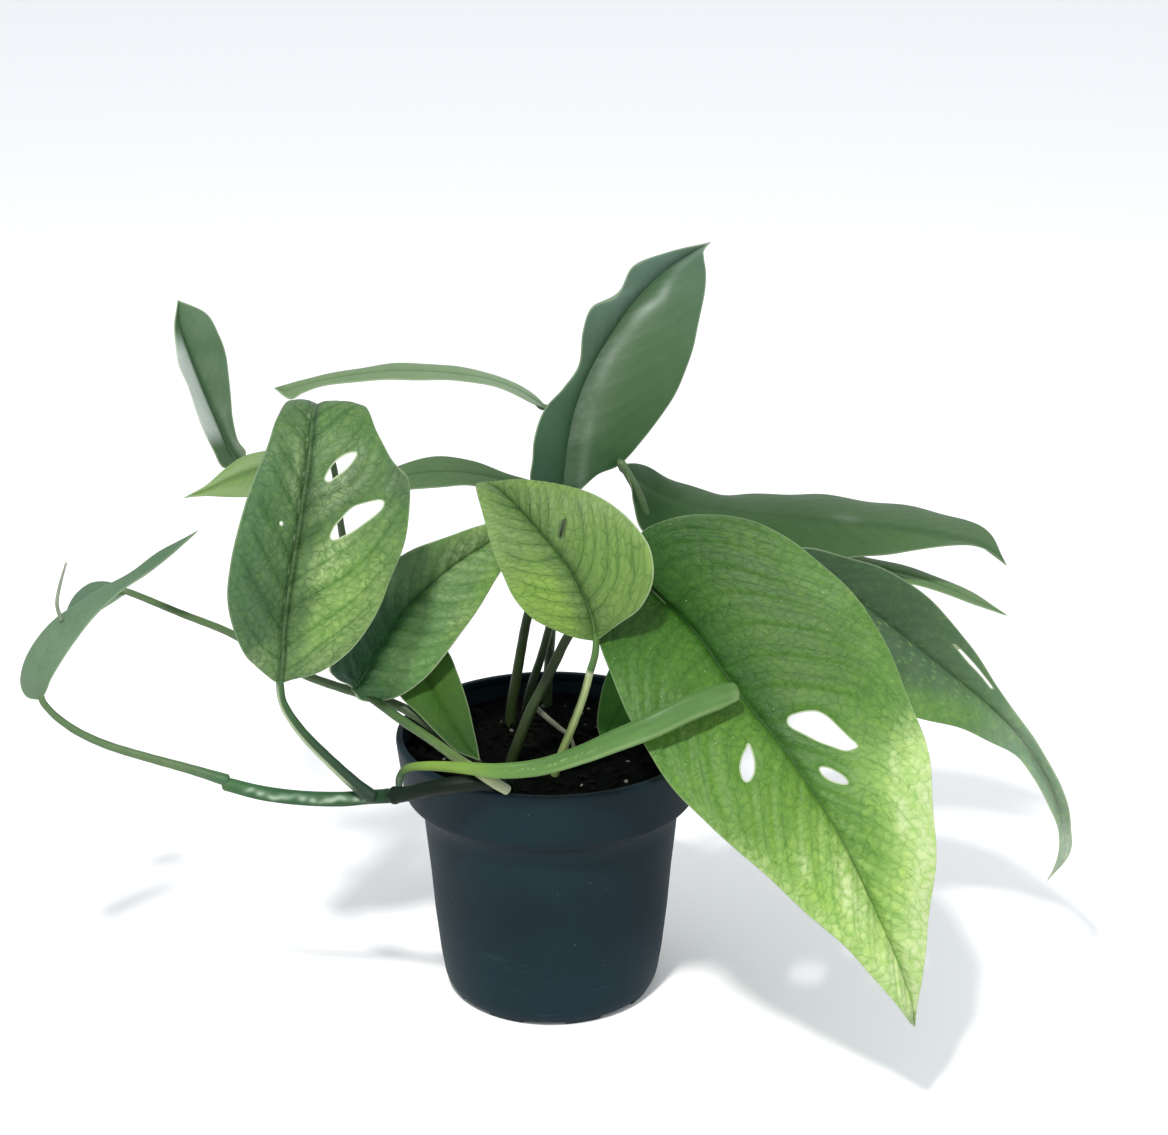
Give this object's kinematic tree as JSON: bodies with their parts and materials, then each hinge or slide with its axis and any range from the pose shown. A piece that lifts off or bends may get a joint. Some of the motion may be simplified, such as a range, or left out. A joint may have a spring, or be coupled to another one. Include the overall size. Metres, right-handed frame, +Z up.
{
  "type": "potted cebu blue pothos",
  "caption": "Trailing aroid with long-stalked, slit and holed blue-green leaves in a tapered round plastic nursery pot with a deep collar.",
  "frame": {"origin": "middle of the pot's foot, on the surface that the pot stands on", "axes": "+Z up, +X to the right along the plant's length, -Y to the front of the plant"},
  "size_m": [0.3999, 0.1926, 0.2826],
  "materials": {
    "pot_plastic": "moulded, slightly satin",
    "soil": "rough, damp bark and peat with white perlite",
    "vine": "smooth, waxy",
    "petiole": "smooth, waxy",
    "blade_bright": "leathery, netted with darker veins",
    "blade_green": "leathery, netted with darker veins",
    "blade_blue": "silvery blue-green, satin",
    "blade_grey": "silvery grey-green, satin",
    "blade_dark": "leathery, satin",
    "new_leaf": "glossy",
    "root": "dull",
    "dried": "dry, papery"
  },
  "bodies": {
    "root": {"pot": "pot_plastic", "growing_medium": "soil", "vine": "vine", "petiole_a": "petiole", "petiole_b": "petiole", "petiole_c": "petiole", "petiole_c2": "petiole", "petiole_d": "petiole", "petiole_e": "petiole", "petiole_f": "petiole", "petiole_g": "petiole", "petiole_h": "petiole", "petiole_i": "petiole", "petiole_j": "petiole", "petiole_k": "petiole", "petiole_l": "petiole", "petiole_n": "petiole", "petiole_p": "petiole", "stem_k2": "petiole", "young_leaf": "new_leaf", "aerial_root": "root", "dried_tip": "dried", "leaf_a": "blade_bright", "leaf_b": "blade_blue", "leaf_c": "blade_blue", "leaf_c2": "blade_grey", "leaf_d": "blade_bright", "leaf_e": "blade_blue", "leaf_f": "blade_bright", "leaf_g": "blade_grey", "leaf_h": "blade_grey", "leaf_i": "blade_grey", "leaf_j": "blade_green", "leaf_k": "blade_grey", "leaf_k2": "blade_grey", "leaf_l": "blade_green", "leaf_n": "blade_dark", "leaf_p": "blade_dark"}
  },
  "joints": []
}
